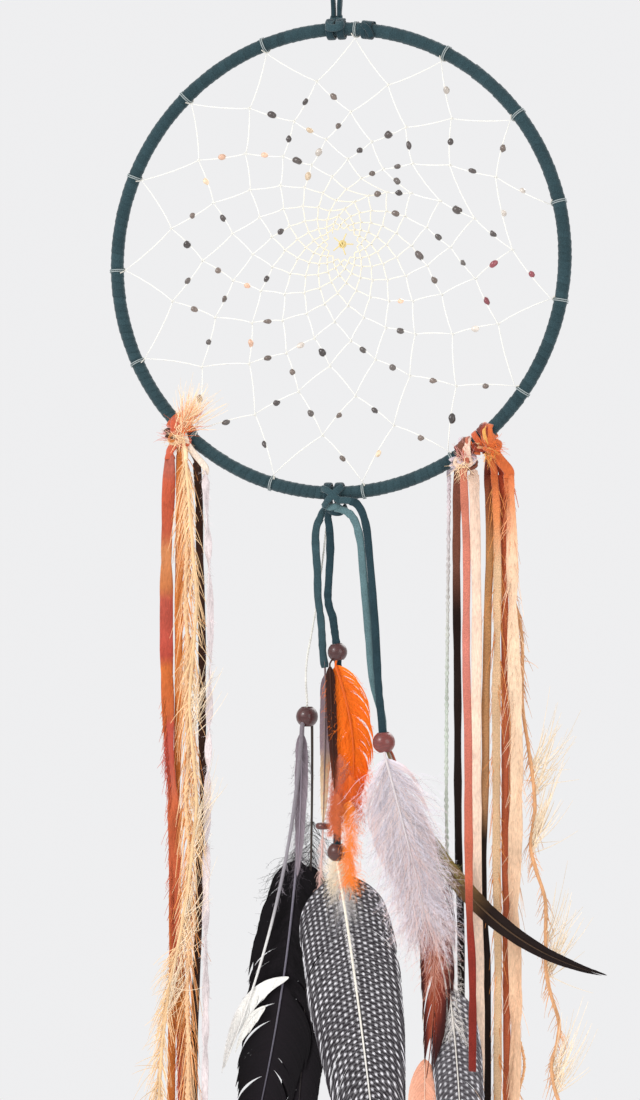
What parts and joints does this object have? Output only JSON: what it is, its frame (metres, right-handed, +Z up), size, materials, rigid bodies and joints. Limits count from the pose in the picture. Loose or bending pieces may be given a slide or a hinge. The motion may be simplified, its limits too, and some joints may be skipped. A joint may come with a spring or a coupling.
{
  "type": "dream catcher",
  "caption": "Wall-hanging dream catcher: suede-wound hoop with a beaded thread web, three swinging feather drops on laces with wooden beads, and two bundles of ribbon and lace streamers",
  "frame": {"origin": "the seat of the hanging loop: the inside of the loop's top, where it rests on a nail", "axes": "+Z up along the hanging line, +X to the right as seen from the front, -Y towards the viewer, +Y towards the wall"},
  "size_m": [0.1952, 0.0275, 0.5322],
  "materials": {
    "suede": "soft napped suede lace in dark teal grey",
    "ring_steel": "drawn wire, hidden under the suede",
    "thread": "thin waxed off-white thread, tied in a pale gold knot",
    "dark_chips": "small tumbled grey-brown chip beads with a soft shine",
    "garnet_chips": "dark red chip beads",
    "pale_chips": "pale tan and peach chip beads",
    "terracotta_yarn": "dyed terracotta, coral and rust ribbon yarn and lace",
    "cream_yarn": "cream, gold and pale ribbon yarns, some with long lashes",
    "dark_suede": "dark brown and black suede lace",
    "taupe_suede": "taupe suede lace",
    "bead_wood": "turned wooden beads, stained reddish brown and lacquered",
    "dark_feather": "black and dark brown feathers with grey down",
    "spotted_feather": "charcoal feathers with rows of white spots",
    "orange_feather": "dyed orange and rust feathers",
    "pale_feather": "white, grey-pink and peach feathers and down"
  },
  "bodies": {
    "hanger": {"hanger_lace": "suede"},
    "hanger_knot": {"hanger_knot": "suede"},
    "hoop": {"hoop_ring": "ring_steel", "hoop_wrap": "suede", "wrap_end": "suede", "hoop_hitches": "thread", "web_thread": "thread", "web_centre_knot": "thread", "web_beads_dark": "dark_chips", "web_beads_large": "dark_chips", "web_beads_garnet": "garnet_chips", "web_beads_pale": "pale_chips", "left_knot": "terracotta_yarn", "left_tuft": "cream_yarn", "right_knot_inner": "terracotta_yarn", "right_knot_outer": "terracotta_yarn"},
    "centre_knot": {"centre_knot": "suede"},
    "left_drop": {"left_thread": "thread", "grey_down_feather": "dark_feather", "black_feather_left": "dark_feather", "black_feather_right": "dark_feather", "white_feather": "pale_feather"},
    "left_bead": {"left_bead": "bead_wood"},
    "middle_drop": {"middle_lace_left": "suede", "middle_lace_right": "suede", "middle_lace_lower": "suede", "orange_feather": "orange_feather", "dark_feather": "dark_feather", "mauve_feather": "dark_feather", "cream_feather": "pale_feather", "guinea_feather_large": "spotted_feather"},
    "middle_bead": {"middle_bead": "bead_wood"},
    "lower_bead": {"lower_bead": "bead_wood"},
    "flat_bead": {"flat_bead": "bead_wood"},
    "right_drop": {"right_lace_outer": "suede", "right_lace_inner": "suede", "fluffy_feather": "pale_feather", "rust_feather": "orange_feather", "curved_feather": "dark_feather", "guinea_feather_small": "spotted_feather", "peach_feather": "pale_feather"},
    "right_bead": {"right_bead": "bead_wood"},
    "left_streamers": {"coral_ribbon": "terracotta_yarn", "gold_lace": "cream_yarn", "cream_yarn": "cream_yarn", "dark_lace": "dark_suede", "pale_ribbon": "cream_yarn", "eyelash_yarn_left": "cream_yarn"},
    "right_streamers": {"grey_green_cord": "cream_yarn", "black_lace": "dark_suede", "rust_lace_front": "terracotta_yarn", "cream_ribbon": "cream_yarn", "brown_lace": "dark_suede", "taupe_lace": "taupe_suede", "rust_lace_outer": "terracotta_yarn", "peach_ribbon": "cream_yarn", "eyelash_yarn_right": "cream_yarn", "curly_cord": "cream_yarn"}
  },
  "joints": [
    {"name": "hoop_turn", "type": "hinge", "parent": "hanger", "child": "hanger_knot", "pos_m": [0, 0, -0.048], "axis": [0, 0, 1], "range_deg": [-90, 90]},
    {"name": "hoop_rock", "type": "hinge", "parent": "hanger_knot", "child": "hoop", "pos_m": [0, 0, -0.0525], "axis": [1, 0, 0], "range_deg": [-25, 25]},
    {"name": "drops_swing", "type": "hinge", "parent": "hoop", "child": "centre_knot", "pos_m": [0, 0, -0.2275], "axis": [1, 0, 0], "range_deg": [-20, 20]},
    {"name": "right_streamers_swing", "type": "hinge", "parent": "hoop", "child": "right_streamers", "pos_m": [0.054, 0, -0.2275], "axis": [1, 0, 0], "range_deg": [-20, 20]},
    {"name": "left_streamers_swing", "type": "hinge", "parent": "hoop", "child": "left_streamers", "pos_m": [-0.062, 0, -0.2275], "axis": [1, 0, 0], "range_deg": [-20, 20]},
    {"name": "left_drop_sway", "type": "hinge", "parent": "centre_knot", "child": "left_drop", "pos_m": [-0.0045, 0.0036, -0.2365], "axis": [0, 1, 0], "range_deg": [-4, 8]},
    {"name": "middle_drop_sway", "type": "hinge", "parent": "centre_knot", "child": "middle_drop", "pos_m": [-0.0025, 0.0005, -0.2365], "axis": [0, 1, 0], "range_deg": [-8, 8]},
    {"name": "right_drop_sway", "type": "hinge", "parent": "centre_knot", "child": "right_drop", "pos_m": [0.0062, -0.0044, -0.231], "axis": [0, 1, 0], "range_deg": [-8, 4]},
    {"name": "left_bead_slide", "type": "slide", "parent": "left_drop", "child": "left_bead", "axis": [0, 0, 1], "range_m": [0, 0.014]},
    {"name": "middle_bead_slide", "type": "slide", "parent": "middle_drop", "child": "middle_bead", "axis": [-0.139, 0, 0.9903], "range_m": [0, 0.004]},
    {"name": "lower_bead_slide", "type": "slide", "parent": "middle_drop", "child": "lower_bead", "axis": [0, 0, 1], "range_m": [0, 0.004]},
    {"name": "flat_bead_slide", "type": "slide", "parent": "middle_drop", "child": "flat_bead", "axis": [0, 0, 1], "range_m": [0, 0.002]},
    {"name": "right_bead_slide", "type": "slide", "parent": "right_drop", "child": "right_bead", "axis": [-0.087, 0, 0.9962], "range_m": [0, 0.004]}
  ],
  "couplings": [
    {"joint": "right_streamers_swing", "follows": "drops_swing", "ratio": 1}
  ]
}
